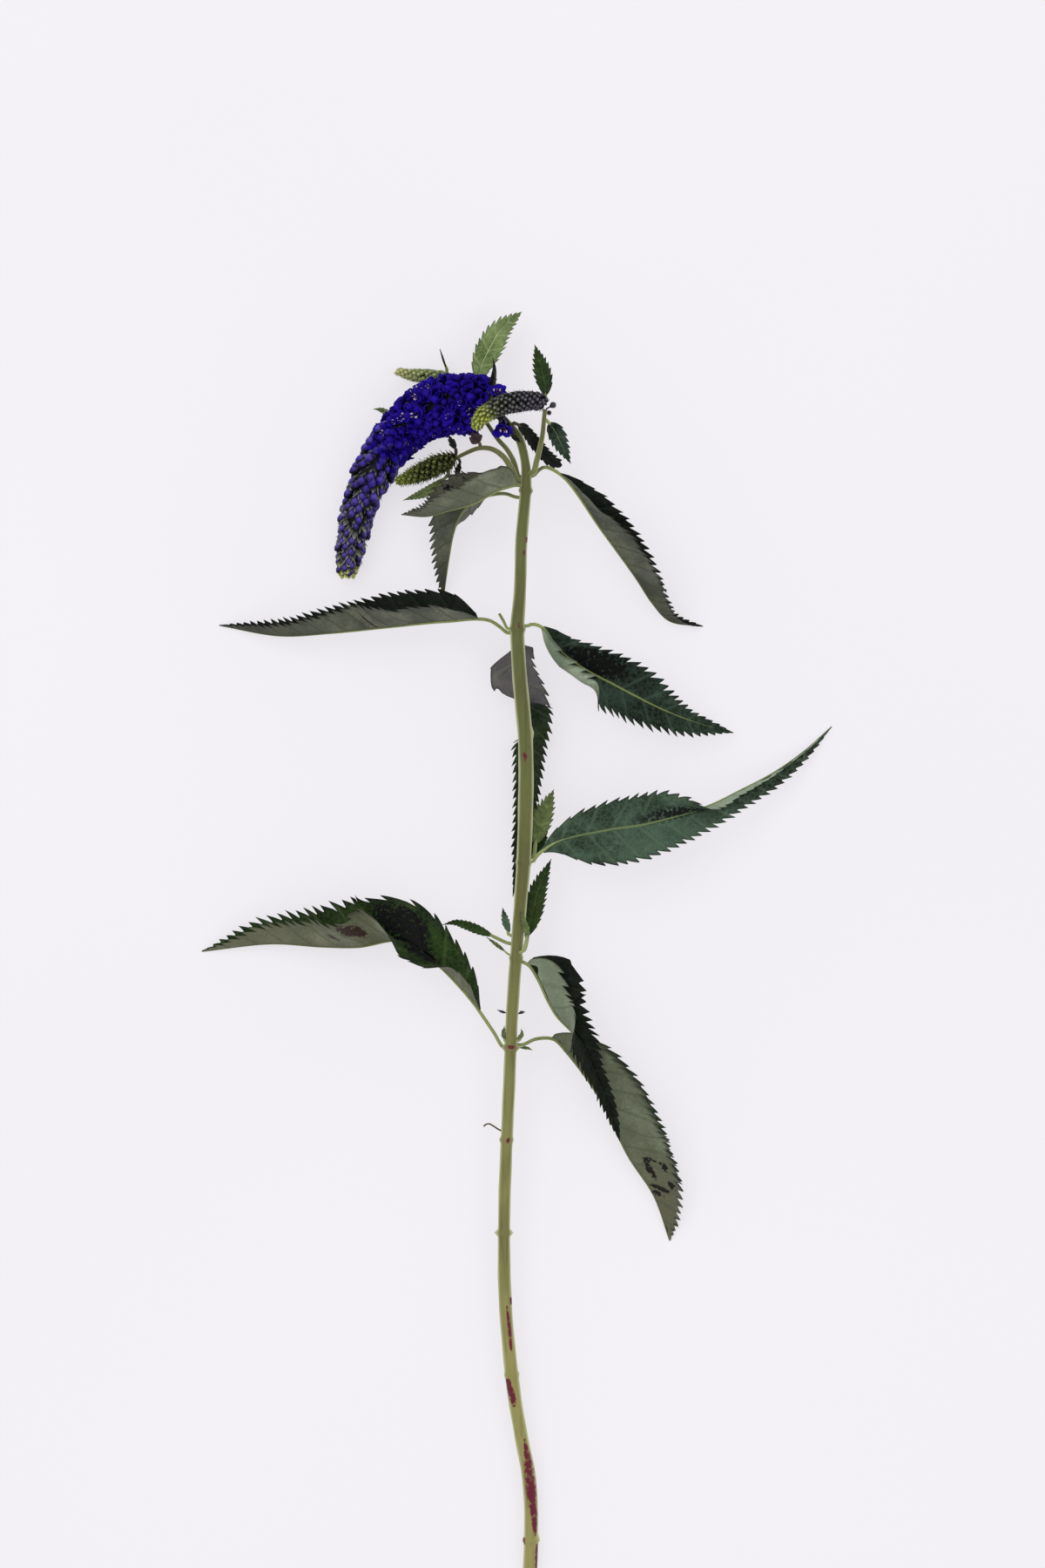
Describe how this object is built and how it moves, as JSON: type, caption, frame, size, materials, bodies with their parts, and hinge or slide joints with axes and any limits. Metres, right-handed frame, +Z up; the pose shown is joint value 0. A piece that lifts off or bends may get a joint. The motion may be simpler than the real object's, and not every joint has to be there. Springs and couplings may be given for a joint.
{
  "type": "speedwell flower spike",
  "caption": "Cut stem of garden speedwell lying on its leaves: a drooping violet flower spike, young green side spikes and whorls of toothed leaves",
  "frame": {"origin": "middle of the bounding box, on the surface that the plant lies on", "axes": "+Y from the cut end to the flowers, +X to the right of the stem seen from above, +Z up from the surface"},
  "size_m": [0.1966, 0.4128, 0.0313],
  "materials": {
    "stem": "satin",
    "violet_flowers": "matte",
    "green_spikes": "matte",
    "dark_leaf": "satin",
    "bright_leaf": "satin",
    "dried_leaf": "matte"
  },
  "bodies": {
    "root": {"back_branch": "stem", "back_side_spike": "green_spikes", "dried_leaf_stalk": "dried_leaf", "drooping_bract": "dark_leaf", "edge_on_leaf": "dark_leaf", "fifth_whorl_left_bract": "dark_leaf", "fifth_whorl_left_leaf": "dark_leaf", "fifth_whorl_right_bract": "dark_leaf", "fifth_whorl_right_leaf": "dark_leaf", "fifth_whorl_small_bract": "dark_leaf", "first_whorl_front_leaf": "dark_leaf", "first_whorl_hanging_leaf": "dark_leaf", "first_whorl_right_leaf": "dark_leaf", "folded_brown_leaf": "dried_leaf", "fourth_whorl_axil_leaf": "dark_leaf", "fourth_whorl_left_bract": "dark_leaf", "fourth_whorl_left_leaf": "dark_leaf", "fourth_whorl_lower_leaf": "dark_leaf", "fourth_whorl_right_leaf": "dark_leaf", "fourth_whorl_small_leaf": "dark_leaf", "large_bud": "violet_flowers", "left_branch": "stem", "left_scale": "dried_leaf", "left_side_spike": "green_spikes", "left_spike_leaf": "bright_leaf", "lower_bract": "dark_leaf", "main_spike": "violet_flowers", "main_stem": "stem", "narrow_top_leaf": "dark_leaf", "right_branch": "stem", "right_scale": "dried_leaf", "right_side_spike": "green_spikes", "rolled_leaf": "dark_leaf", "rolled_leaf_strand": "dark_leaf", "second_whorl_back_leaf": "dark_leaf", "second_whorl_broken_stalk": "bright_leaf", "second_whorl_left_leaf": "dark_leaf", "second_whorl_right_leaf": "dark_leaf", "small_bud": "violet_flowers", "small_dark_bract": "dark_leaf", "spike_leaf_tip": "dark_leaf", "third_whorl_axil_leaf": "bright_leaf", "third_whorl_dark_leaf": "dark_leaf", "third_whorl_right_leaf": "dark_leaf", "top_leaf": "bright_leaf", "upper_bract": "dark_leaf"}
  },
  "joints": []
}
